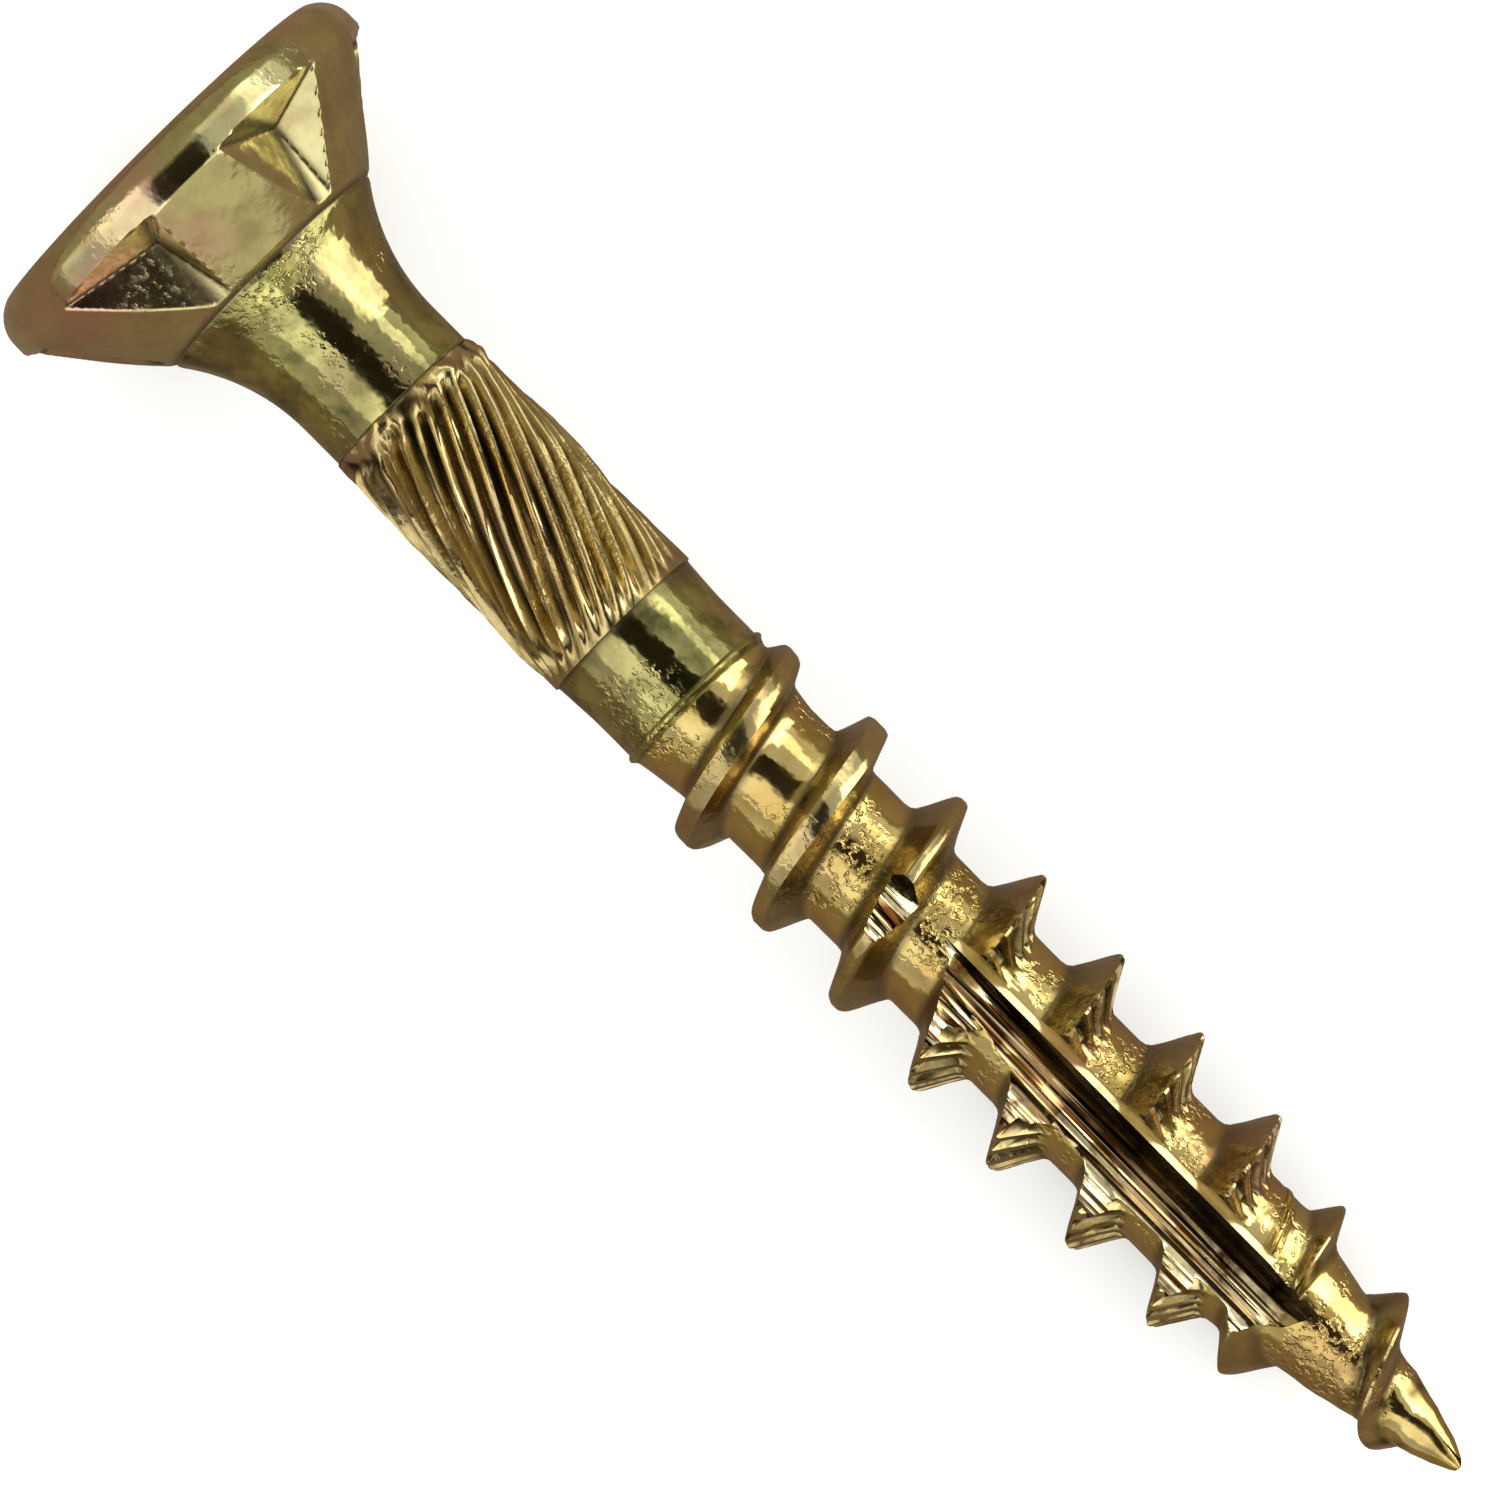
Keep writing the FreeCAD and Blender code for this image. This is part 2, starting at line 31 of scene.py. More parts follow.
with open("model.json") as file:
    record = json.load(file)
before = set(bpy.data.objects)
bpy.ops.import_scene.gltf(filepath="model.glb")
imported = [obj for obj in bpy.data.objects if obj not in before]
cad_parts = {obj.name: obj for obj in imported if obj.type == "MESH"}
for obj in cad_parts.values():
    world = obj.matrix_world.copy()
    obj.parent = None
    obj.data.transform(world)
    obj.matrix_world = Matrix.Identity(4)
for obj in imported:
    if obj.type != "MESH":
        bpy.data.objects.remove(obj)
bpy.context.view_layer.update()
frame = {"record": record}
headFace = next(m for m in frame["record"]["mounts"] if m["name"] == "head_face")
along = -Vector(headFace["axis"])
across = Vector((0, 1, 0))
upward = along.cross(across)
headTop = Vector((headFace["pos_m"][0], 0, headFace["pos_m"][2]))
print("frame loaded", [round(v * 1000, 3) for v in headTop])


# Turns millimetre points along the screw into metres in the frame.
def toRow(points):
    turn = np.array([along, across, upward])
    return np.array(headTop) + (np.asarray(points) @ turn) * 0.001


def softMin(a, b, width):
    reach = np.maximum(width - np.abs(a - b), 0)
    return np.minimum(a, b) - reach ** 2 / (4 * width)


def softMax(a, b, width):
    return -softMin(-a, -b, width)


fullTurn = 6.3  # about one turn in radians, for uneven waves


# A steady number from 0 to 1 for each set of seeds.
def dice(*seeds):
    value = math.sin(sum(s * k for s, k in zip(seeds, (12.9898, 78.233, 37.719)))) * 43758.5453
    return value - math.floor(value)


# Smooth noise of about -1 to 1 at each point; scale is lumps for each millimetre.
def lumps(x, y, z, scale, seed=0):
    flat = zip(np.ravel(x), np.ravel(y), np.ravel(z))
    made = [noise.noise(Vector(((a + 31 * seed) * scale, b * scale, c * scale))) for a, b, c in flat]
    return np.array(made).reshape(np.shape(x))


head = {
    "columns": 480,
    "topRadius": 4.38, "rimRadius": 4.85, "rimStart": 0.72, "rimEnd": 1.12,
    "coneEnd": 3.3, "coneEndRadius": 2.87, "flareEnd": 6.2, "neckRadius": 1.83,
    "creaseDepth": 0.06, "creaseWidth": 0.05, "creaseX": 3.36, "rimRound": 0.07, "unevenness": 0.006,
    "dents": 6, "dentFirst": 60, "dentReach": 36, "dentFrom": 1.0, "dentTo": 3.4, "dentShadeTo": 3.3,
    "dentRimX": 1.1, "dentRimHalf": 18.3, "dentNeckX": 3.22, "dentNeckShift": -8, "dentNeckHalf": 4.5,
    "dentDeepX": 1.5, "dentDeepRadius": 3.4, "dentDeepShift": -8,
    "innerRound": 0.015, "edgeRound": 0.05, "lip": 0.012,
}


# The turned outline of the head and the neck.
def blankRadius(x):
    h = head
    x = np.asarray(x, float)
    rise = h["rimRadius"] - h["topRadius"]
    bend = (h["rimStart"] ** 2 + rise ** 2) / (2 * rise)
    rim = h["rimRadius"] - bend + np.sqrt(np.maximum(bend ** 2 - (h["rimStart"] - x) ** 2, 0))
    slope = (h["rimRadius"] - h["coneEndRadius"]) / (h["coneEnd"] - h["rimEnd"])
    cone = h["rimRadius"] - slope * (x - h["rimEnd"])
    drop = h["coneEndRadius"] - h["neckRadius"]
    run = h["flareEnd"] - h["coneEnd"]
    hollow = (run ** 2 + drop ** 2) / (2 * drop)
    flare = h["neckRadius"] + hollow - np.sqrt(hollow ** 2 - np.clip(h["flareEnd"] - x, 0, run) ** 2)
    body = np.where(x < h["rimStart"], rim, h["rimRadius"])
    outside = 2 * h["rimRadius"]  # the cone has no say above the rim
    body = softMin(body, np.where(x < 0.5, outside, cone), h["rimRound"])
    body = np.where(x > h["coneEnd"], flare, body)
    return body - h["creaseDepth"] * np.exp(-((x - h["creaseX"]) / h["creaseWidth"]) ** 2)


def pointAt(x, radius, degrees):
    turn = math.radians(degrees)
    return np.array([x, radius * math.cos(turn), radius * math.sin(turn)])


# The four sides of one dent as normals and distances, facing out of the steel.
def dentPlanes(middle):
    h = head
    slope = (h["rimRadius"] - h["coneEndRadius"]) / (h["coneEnd"] - h["rimEnd"])
    neckRadius = h["rimRadius"] - slope * (h["dentNeckX"] - h["rimEnd"])
    neck = middle + h["dentNeckShift"]
    deep = pointAt(h["dentDeepX"], h["dentDeepRadius"], middle + h["dentDeepShift"])
    mouth = [
        pointAt(h["dentRimX"], h["rimRadius"], middle - h["dentRimHalf"]),
        pointAt(h["dentRimX"], h["rimRadius"], middle + h["dentRimHalf"]),
        pointAt(h["dentNeckX"], neckRadius, neck + h["dentNeckHalf"]),
        pointAt(h["dentNeckX"], neckRadius, neck - h["dentNeckHalf"]),
    ]
    outward = pointAt(0, 1, middle)
    planes = []
    for first, second in zip(mouth, mouth[1:] + mouth[:1]):
        normal = np.cross(first - deep, second - deep)
        normal /= np.linalg.norm(normal)
        if normal @ outward < 0:
            normal = -normal
        planes.append((normal, normal @ deep))
    return planes


# Radius of the head at each place, and how far down in a corner it lies, which sets the painted shade there.
def headSurface(x, degrees):
    h = head
    radius = blankRadius(x)
    # painted shade along the crease
    hollow = 0.8 * np.exp(-((x - h["creaseX"]) / 0.06) ** 2)
    turn = np.radians(degrees)
    for number in range(h["dents"]):
        middle = h["dentFirst"] + 360 * number / h["dents"]
        near = np.cos(turn - math.radians(middle)) > math.cos(math.radians(h["dentReach"]))
        near = near & (x > h["dentFrom"]) & (x < h["dentTo"])
        level = second = None
        for normal, distance in dentPlanes(middle):
            facing = np.maximum(normal[1] * np.cos(turn) + normal[2] * np.sin(turn), 0.04)
            side = (distance - normal[0] * x) / facing
            if level is None:
                level, second = side, side - 9  # the second highest side is still far below
            else:
                second = np.maximum(second, np.minimum(level, side))
                level = softMax(level, side, h["innerRound"])
        gap = level - radius
        # painted shade in the inner corners of each dent
        corner = np.exp(-((level - second) / 0.09) ** 2) * (gap < -0.02)
        hollow = np.where(near & (x < h["dentShadeTo"]), np.maximum(hollow, corner), hollow)
        lip = h["lip"] * np.exp(-((gap - 0.02) / 0.04) ** 2)
        cut = softMin(radius, level, h["edgeRound"]) + lip
        radius = np.where(near, cut, radius)
    return radius, hollow


recess = {"outer": 2.215, "lobe": 0.37, "hollow": 0.93, "turn": 15, "depth": 2.2, "rounding": 0.06}


# Outline of the six lobes at each angle.
def recessRadius(degrees):
    r = recess
    near = r["outer"] - r["lobe"]
    half = math.radians(30)
    far = near * math.cos(half) + math.sqrt((r["lobe"] + r["hollow"]) ** 2 - (near * math.sin(half)) ** 2)
    turn = np.radians((degrees - r["turn"] + 30) % 60 - 30)
    off = np.abs(turn)
    lobe = near * np.cos(off) + np.sqrt(np.maximum(r["lobe"] ** 2 - (near * np.sin(off)) ** 2, 0))
    hollow = far * np.cos(half - off) - np.sqrt(np.maximum(r["hollow"] ** 2 - (far * np.sin(half - off)) ** 2, 0))
    touch = near + (far * np.exp(1j * half) - near) / abs(far * np.exp(1j * half) - near) * r["lobe"]
    return np.where(off < np.angle(touch), lobe, hollow)


knurl = {
    "start": 7.2, "end": 13.65, "ridges": 30, "twist": 98, "valley": 1.68, "crest": 1.97,
    "shape": [1.0, 0.97, 0.8, 0.28, 0.0, 0.08, 0.55, 0.93],
    "sizeLeast": 0.72, "sizeSpread": 0.4, "startLevel": 0.6, "endLeast": 0.78, "endSpread": 0.1, "fade": 0.9,
    "burrX": 7.48, "burrWidth": 0.3, "burr": 0.24, "burrShade": 12, "unevenness": 0.015,
}
collar = {
    "x": [13.65, 13.75, 14.6, 15.66, 15.73, 15.8, 15.9, 15.98, 17.6],
    "r": [1.87, 1.86, 1.81, 1.8, 1.88, 1.88, 1.78, 1.76, 1.53],
    "stations": [13.66, 13.75, 13.95, 14.2, 14.6, 15.0, 15.4, 15.66, 15.71, 15.75, 15.8, 15.84, 15.89, 15.95],
}
shank = {
    "columns": 240, "x": [17.6, 32.3, 34.1, 36.3, 37.6, 38.0, 38.1], "r": [1.53, 1.53, 1.17, 0.73, 0.36, 0.17, 0.1],
    "step": 0.28, "tipStations": [37.6, 37.75, 37.9, 38.0, 38.06, 38.1],
    "rootLumps": 0.012, "ridgeLumps": 0.035, "tipLumps": 0.085, "tipFrom": 33.8,
}


# Radius on the knurl, whose ridges follow the columns, and how far down in a valley it lies, as painted shade that
# varies along each ridge.
def knurlRadius(x, column):
    k = knurl
    step = shank["columns"] // k["ridges"]
    ridge, phase = divmod(column, step)
    size = k["sizeLeast"] + k["sizeSpread"] * dice(ridge, 3)
    share = (x - k["start"]) / (k["end"] - k["start"])
    wave = 0.5 + 0.5 * np.sin(fullTurn * (share * (1 + dice(ridge, 5)) + dice(ridge, 7)))
    height = k["shape"][phase] * size * (0.8 + 0.2 * wave)
    fadeIn = np.clip((x - k["start"] - 0.25) / 0.5, 0, 1)
    fadeOut = np.clip((k["end"] - x) / k["fade"], 0, 1)
    smear = k["endLeast"] + k["endSpread"] * dice(ridge, 9)
    level = smear + (height - smear) * fadeOut
    level = k["startLevel"] + (level - k["startLevel"]) * fadeIn
    valleyShade = 0.62 + 0.5 * np.sin(fullTurn * (share * (0.8 + dice(ridge, 21)) + dice(ridge, 23)))
    deep = np.clip((1 - 1.6 * height) * valleyShade, 0, 1) * fadeOut * fadeIn
    deep = np.where(x < k["start"] + 0.03, 0.9, deep)  # painted shade in the groove before the ridges
    return k["valley"] + (k["crest"] - k["valley"]) * level, deep


def shankRadius(x):
    x = np.asarray(x, float)
    onCollar, onShank = (np.interp(x, piece["x"], piece["r"]) for piece in (collar, shank))
    return np.where(x < shank["x"][0], onCollar, onShank)


lip = {"from": 79.5, "to": 83.2, "height": 0.045, "start": 22.9, "end": 33.0}  # raised by the cutter along the flute
notch = {
    "full": 0.26, "shift": 0.2, "least": 0.8, "spread": 0.5,
    "place": [-0.1, 0, 0.1, 0.22, 0.6, 0.72, 1, 1.1], "share": [0, 0, 0.05, 1, 1, 0.05, 0, 0.05],
}
thread = {
    "start": 16.54, "pitch": 2.304, "notchStep": 13.3,
    "turn": [-0.38, -0.2, 0, 0.5, 1, 1.5, 2, 2.5, 2.75, 2.9, 5, 6, 6.6, 6.75, 7, 7.2, 7.3],
    "crest": [1.75, 1.92, 2.11, 2.26, 2.3, 2.4, 2.43, 2.44, 2.48, 2.53, 2.54, 2.5, 2.46, 2.3, 2.09, 1.6, 1.4],
    "foot": [0.34, 0.42, 0.46, 0.46, 0.48, 0.52, 0.56, 0.58, 0.6, 0.6, 0.6, 0.6, 0.6, 0.54, 0.42, 0.2, 0.1],
    "flat": [0.24, 0.24, 0.2, 0.19, 0.24, 0.14, 0.12, 0.13, 0.08, 0.05, 0.05, 0.05, 0.05, 0.05, 0.05, 0.04, 0.04],
    "notch": [0, 0, 0, 0, 0, 0, 0, 0, 0, 0.26, 0.26, 0.26, 0.18, 0, 0, 0, 0],
}
pointRidge = {
    "start": 31.6, "pitch": 3.25, "notchStep": 30,
    "turn": [-0.05, 0.25, 0.5, 1, 1.25, 1.5, 1.72],
    "crest": [1.56, 1.6, 2.13, 1.72, 1.34, 1.06, 0.56],
    "foot": [0.1, 0.22, 0.58, 0.52, 0.3, 0.34, 0.14],
    "flat": [0.04, 0.04, 0.05, 0.05, 0.05, 0.06, 0.04],
    "notch": [0, 0, 0, 0, 0, 0, 0],
}


# How far a notch has gone into the ridge at one turn, between blocks that stay whole.
def notchShare(ridge, turn):
    depth = np.interp(turn, ridge["turn"], ridge["notch"])
    place = turn * 360 / ridge["notchStep"]
    number = math.floor(place)
    rest = place - number + notch["shift"] * (dice(number, 11) - 0.5)
    block = np.interp(rest, notch["place"], notch["share"])
    return min(depth * block * (notch["least"] + notch["spread"] * dice(number, 13)) / notch["full"], 1)


# Places, radii and depth of shade across a ridge where it meets one half plane.
def ridgeSection(ridge, turn):
    crest, foot, flat = (np.interp(turn, ridge["turn"], ridge[k]) for k in ("crest", "foot", "flat"))
    middle = ridge["start"] + ridge["pitch"] * turn
    bite = notchShare(ridge, turn)
    tall = max(crest - float(shankRadius(middle)), 0.01)
    cove = min(0.24, 0.5 * tall)
    left = [
        (-foot - cove, 0), (-foot - 0.3 * cove, 0.03 * tall), (-foot + 0.12 * (foot - flat), 0.13 * tall),
        (-foot + 0.45 * (foot - flat), 0.43 * tall), (-foot + 0.8 * (foot - flat), 0.8 * tall),
        (-flat - 0.015, tall - 0.035 - 0.06 * bite), (-flat * 0.6, tall - 0.06 * bite),
    ]
    whole = [
        (flat * 0.6, tall), (flat + 0.015, tall - 0.035), (foot - 0.8 * (foot - flat), 0.8 * tall),
        (foot - 0.45 * (foot - flat), 0.43 * tall), (foot - 0.12 * (foot - flat), 0.13 * tall),
        (foot + 0.25 * cove, 0.03 * tall), (foot + 0.7 * cove, 0),
    ]
    notched = [  # a steep wall, then a ledge that falls off to the root
        (-0.03, 0.86 * tall), (0.0, 0.72 * tall), (0.05, 0.36 * tall), (0.27, 0.27 * tall), (0.33, 0.06 * tall),
        (0.44, 0.02 * tall), (foot + 0.06, 0),
    ]
    right = [(a[0] + (b[0] - a[0]) * bite, a[1] + (b[1] - a[1]) * bite) for a, b in zip(whole, notched)]
    spots = [(middle + offset, float(shankRadius(middle + offset)) + max(rise, 0)) for offset, rise in left + right]
    xs = np.array([s[0] for s in spots])
    hollow = [0, 0.6, 0.55, 0.15, 0, 0, 0, 0, 0.5 * bite, bite, 0.7 * bite, 0.5, 0.4 - 0.3 * bite, 0]
    rising = np.maximum.accumulate(xs + np.arange(len(xs)) * 1e-5)
    return rising, np.array([s[1] for s in spots]), np.array(hollow)


# Places and radii along one column from the collar to the tip, the ridge's height and how deep each lies, which sets
# its painted shade.
def shankColumn(degrees):
    sections = []
    for ridge in (thread, pointRidge):
        first, last = ridge["turn"][0], ridge["turn"][-1]
        turn = degrees / 360 + math.ceil(first - degrees / 360)
        while turn <= last:
            sections.append(ridgeSection(ridge, turn))
            turn += 1
    end = shank["x"][-1]
    stations = collar["stations"] + list(np.arange(16.2, 37.6, shank["step"])) + shank["tipStations"]
    inside = [(s[0][0] + 0.03, s[0][-1] - 0.03) for s in sections]
    plain = [x for x in stations if not any(low < x < high and x > 15.96 for low, high in inside)]
    xs = np.sort(np.concatenate([plain] + [s[0] for s in sections]))
    xs = xs[(xs >= stations[0]) & (xs <= stations[-1])]
    xs = xs[np.concatenate([[True], np.diff(xs) > 0.004])]
    if xs[-1] < end:
        xs = np.append(xs[:-1], end)
    base = shankRadius(xs)
    level = base.copy()
    # painted shade in the groove where the knurl ends and below the collar ring
    hollow = 0.9 * np.exp(-((xs - 13.68) / 0.06) ** 2) + 0.7 * np.exp(-((xs - 15.9) / 0.03) ** 2)
    for placeX, placeR, placeHollow in sections:
        level = np.maximum(level, np.interp(xs, placeX, placeR, left=0, right=0))
        hollow = np.maximum(hollow, np.interp(xs, placeX, placeHollow, left=0, right=0))
    share = np.clip((degrees - lip["from"]) / (lip["to"] - lip["from"]), 0, 1) * (degrees < 92)
    ends = np.clip((xs - lip["start"]) / 0.5, 0, 1) * np.clip((lip["end"] - xs) / 0.4, 0, 1)
    waver = 0.85 + 0.15 * np.sin(3.1 * xs) + 0.1 * np.sin(7.7 * xs)
    return xs, level + lip["height"] * share * ends * waver, level - base, hollow



# Collects vertices with how deep each lies, which sets their painted shade, and faces with the zone each belongs to.
class MeshParts:
    def __init__(self):
        self.points, self.faces, self.zones, self.hollow = [], [], [], []

    def add(self, points, hollow=0.0):
        start = len(self.points)
        self.points.extend(map(tuple, points))
        self.hollow.extend(np.broadcast_to(hollow, len(points)))
        return list(range(start, len(self.points)))

    def face(self, corners, zone):
        self.faces.append(corners)
        self.zones.append(zone)

    # Joins two rings; the second may have half as many points.
    def ring(self, low, high, zone):
        count, ratio = len(low), len(low) // len(high)
        for i in range(0, count, ratio):
            j, k = i // ratio, (i // ratio + 1) % len(high)
            for step in range(ratio):
                a, b = low[i + step], low[(i + step + 1) % count]
                if step == 0:
                    self.face((a, high[j], high[k], b) if ratio == 1 else (a, high[j], b), zone)
                else:
                    self.face((a, high[j], high[k]), zone)
                    self.face((a, high[k], b), zone)

    # Joins two columns whose points lie at different places along the screw.
    def zip(self, low, high, zoneOf):
        i = j = 0
        while i + 1 < len(low) or j + 1 < len(high):
            lowNext = self.points[low[i + 1]][0] if i + 1 < len(low) else 1e9
            highNext = self.points[high[j + 1]][0] if j + 1 < len(high) else 1e9
            if lowNext <= highNext:
                self.face((low[i], low[i + 1], high[j]), zoneOf(low[i], low[i + 1], high[j]))
                i += 1
            else:
                self.face((low[i], high[j + 1], high[j]), zoneOf(low[i], high[j + 1], high[j]))
                j += 1


zones = [
    "headPlate", "recessPlate", "neckPlate", "knurlPlate", "rootPlate", "ridgePlate", "flutePlate", "shadowedWallPlate",
    "bevelPlate",
]
zoneNumber = {name: number for number, name in enumerate(zones)}


def roundPoints(x, radius, degrees):
    turn = np.radians(degrees)
    return np.stack([np.broadcast_to(x, turn.shape), radius * np.cos(turn), radius * np.sin(turn)], axis=-1)


# The drive recess and the flat top round it; each builder returns its last ring.
def buildTop(parts, degrees):
    lobes = recessRadius(degrees)
    depth, soft = recess["depth"], recess["rounding"]
    middle = parts.add([(depth, 0, 0)])[0]
    inner = [(depth, lobes * 0.5), (depth, lobes - 0.03), (depth - 0.03, lobes), (1.2, lobes), (soft, lobes),
             (0.3 * soft, lobes + 0.3 * soft), (0, lobes + soft)]
    rings = [parts.add(roundPoints(x, radius, degrees)) for x, radius in inner]
    for i in range(head["columns"]):
        corners = (middle, rings[0][i], rings[0][(i + 1) % head["columns"]])
        parts.face(corners, zoneNumber["recessPlate"])
    for low, high in zip(rings, rings[1:]):
        parts.ring(low, high, zoneNumber["recessPlate"])
    top = [parts.add(roundPoints(0, np.full(len(degrees), r), degrees)) for r in (3.4, 4.2)]
    parts.ring(rings[-1], top[0], zoneNumber["headPlate"])
    parts.ring(top[0], top[1], zoneNumber["headPlate"])
    return top[1]


def buildUnderside(parts, degrees, last):
    rim = head["rimStart"] * (1 - np.cos(np.linspace(0.0, 1, 13) * math.pi / 2))
    xs = np.concatenate([[0.0], rim[1:], [0.86, 0.98, 1.03, 1.07, 1.1, 1.13, 1.17], np.arange(1.21, 3.44, 0.044)])
    grid, turns = np.meshgrid(xs, degrees, indexing="ij")
    radius, hollow = headSurface(grid, turns)
    y, z = radius * np.cos(np.radians(turns)), radius * np.sin(np.radians(turns))
    radius = radius + head["unevenness"] * lumps(grid, y, z, 1.1, 1) * np.clip(grid / 0.5, 0, 1)
    for row, x in enumerate(xs):
        ring = parts.add(roundPoints(x, radius[row], degrees), hollow[row])
        parts.ring(last, ring, zoneNumber["headPlate"])
        last = ring
    return last


# The neck has half as many columns as the head.
def buildNeck(parts, base, last):
    for x in np.concatenate([np.arange(3.5, 6.2, 0.15), [6.2, 6.5, 6.8, 7.0, 7.1, 7.16]]):
        ring = parts.add(roundPoints(x, np.full(len(base), float(blankRadius(x))), base))
        parts.ring(last, ring, zoneNumber["neckPlate"])
        last = ring
    return last


def buildKnurl(parts, base, last):
    k = knurl
    xs = np.concatenate([[7.2, 7.24], np.arange(7.3, 8.2, 0.08), np.arange(8.2, 13.5, 0.2), [13.5, 13.6, 13.64]])
    radii, valleys = np.array([knurlRadius(xs, column) for column in range(len(base))]).transpose(1, 2, 0)
    for row, x in enumerate(xs):
        twisted = base + k["twist"] * (x - k["start"]) / (k["end"] - k["start"])
        y, z = 1.9 * np.cos(np.radians(twisted)), 1.9 * np.sin(np.radians(twisted))
        burr = k["burr"] * np.exp(-((x - k["burrX"]) / k["burrWidth"]) ** 2)
        rough = lumps(np.full(len(base), x), y, z, 2.2, 2)
        # painted shade of the valleys, broken up by the lumps of the burr
        valleyShade = np.clip(valleys[row] - k["burrShade"] * burr * rough, 0, 1)
        ring = parts.add(roundPoints(x, radii[row] + burr * rough + k["unevenness"] * rough, twisted), valleyShade)
        parts.ring(last, ring, zoneNumber["knurlPlate"])
        last = ring
    return last


# Collar, thread and point, column by column.
def buildShank(parts, base, last):
    end = shank["x"][-1]
    columns, raised = [], {}
    for angle in base:
        turned = angle + knurl["twist"]
        place, radius, height, hollow = shankColumn(turned % 360)
        y, z = radius * math.cos(math.radians(turned)), radius * math.sin(math.radians(turned))
        tipShare = np.clip((place - shank["tipFrom"]) / 1.6, 0, 1) * np.clip((end - place) / 0.9, 0, 1)
        uneven = shank["rootLumps"] + shank["ridgeLumps"] * np.clip(height, 0, 1) + shank["tipLumps"] * tipShare
        uneven = uneven * lumps(place, y, z, 1.5, 4)
        # random dark patches near the point are added to the same channel
        hollow = np.clip(hollow - 1.6 * tipShare * np.minimum(lumps(place, y, z, 2.4, 6), 0), 0, 1)
        made = parts.add(roundPoints(place, radius + uneven, np.full(len(place), turned)), hollow)
        raised.update(zip(made, height))
        columns.append(made)
    parts.ring(last, [column[0] for column in columns], zoneNumber["knurlPlate"])

    def zoneOf(*corners):
        if max(raised[c] for c in corners) > 0.06:
            return zoneNumber["ridgePlate"]
        return zoneNumber["rootPlate" if parts.points[corners[0]][0] > collar["x"][6] else "neckPlate"]

    following = columns[1:] + columns[:1]
    for column, nextColumn in zip(columns, following):
        parts.zip(column, nextColumn, zoneOf)
    tip = parts.add([(end + 0.02, 0, 0)])[0]
    for column, nextColumn in zip(columns, following):
        parts.face((column[-1], tip, nextColumn[-1]), zoneNumber["rootPlate"])


def buildScrew():
    parts = MeshParts()
    fine = np.arange(head["columns"]) * 360 / head["columns"]
    base = np.arange(shank["columns"]) * 360 / shank["columns"]
    last = buildTop(parts, fine)
    last = buildUnderside(parts, fine, last)
    last = buildNeck(parts, base, last)
    last = buildKnurl(parts, base, last)
    buildShank(parts, base, last)
    return parts


def makeObject(name, points, faces, faceZones, hollow=None):
    mesh = bpy.data.meshes.new(name)
    mesh.from_pydata([tuple(p) for p in toRow(points)], [], faces)
    for plate in zones:
        mesh.materials.append(bpy.data.materials.get(plate) or bpy.data.materials.new(plate))
    mesh.polygons.foreach_set("material_index", faceZones)
    # the hollow attribute carries the painted shade for the plating
    depth = mesh.attributes.new("hollow", "FLOAT", "POINT")
    if hollow is not None:
        depth.data.foreach_set("value", hollow)
    mesh.update()
    made = bpy.data.objects.new(name, mesh)
    bpy.context.scene.collection.objects.link(made)
    return made


# The flute is cut by a disc with a square edge, whose worn edge leaves lengthwise grooves.
flute = {
    "cornerY": -0.08, "cornerZ": 0.8, "lean": 20, "full": 29.7, "end": 33.25, "exit": 35.1, "width": 1.85,
    "disc": 30, "height": 2.2, "grooves": 17, "grooveDepth": 0.06,
}
bevel = {"start": 23.2, "end": 33.15, "section": [(0.1, 1.59), (0.37, 1.447), (0.48, 2.8), (0.1, 2.8)]}
fold = {"start": (37.2, 0.2), "lower": (38.3, 0.04), "upper": (38.3, 0.13), "floor": -0.06, "height": 1}


def buildFluteCutter():
    f = flute
    lean = math.radians(f["lean"])
    span = math.sqrt(2 * f["disc"] * f["height"] - f["height"] ** 2)
    path = []
    for i in range(33):
        x = f["full"] - span * (1 - i / 32)
        path.append((x, f["disc"] - math.sqrt(f["disc"] ** 2 - (f["full"] - x) ** 2)))
    path += [(x, 0) for x in np.linspace(f["full"] + 0.3, f["end"], 10)]
    path += [(f["end"] + 0.5, 0.35), (f["exit"], f["height"])]
    rows = []
    for i in range(f["grooves"] + 1):
        between = 0 < i < f["grooves"]
        wide = f["width"] * (i + 0.3 * dice(i, 17) * between) / f["grooves"]
        groove = f["grooveDepth"] * (dice(i, 19) - 0.4) if between else 0
        rows.append([(x, rise + groove * (1 if rise < 1.5 else 0.2), wide) for x, rise in path])
    points, faces = [], []
    for row in rows:
        for x, rise, wide in row:
            points.append((x, f["cornerY"] + math.sin(lean) * rise - math.cos(lean) * wide,
                           f["cornerZ"] + math.cos(lean) * rise + math.sin(lean) * wide))
    count = len(path)
    for i in range(len(rows) - 1):
        for j in range(count - 1):
            a, b = i * count + j, (i + 1) * count + j
            faces.append((a, a + 1, b + 1, b))
        faces.append((i * count + count - 1, i * count, (i + 1) * count, (i + 1) * count + count - 1))
    faces.append(tuple(range(count))[::-1])
    faces.append(tuple(range((len(rows) - 1) * count, len(rows) * count)))
    floor, wall = zoneNumber["flutePlate"], zoneNumber["shadowedWallPlate"]
    return makeObject("fluteCutter", np.array(points), faces, [floor] * (len(faces) - 2) + [wall, floor])


# The worn edge of the disc leaves a narrow bevel above the wall, through root and ridges alike.
def buildBevelCutter():
    points = [(x, y, z) for x in (bevel["start"], bevel["end"]) for y, z in bevel["section"]]
    faces = [(3, 2, 1, 0), (4, 5, 6, 7), (0, 1, 5, 4), (1, 2, 6, 5), (2, 3, 7, 6), (3, 0, 4, 7)]
    plates = ["rootPlate", "rootPlate", "bevelPlate", "ridgePlate", "ridgePlate", "ridgePlate"]
    return makeObject("bevelCutter", np.array(points), faces, [zoneNumber[plate] for plate in plates])


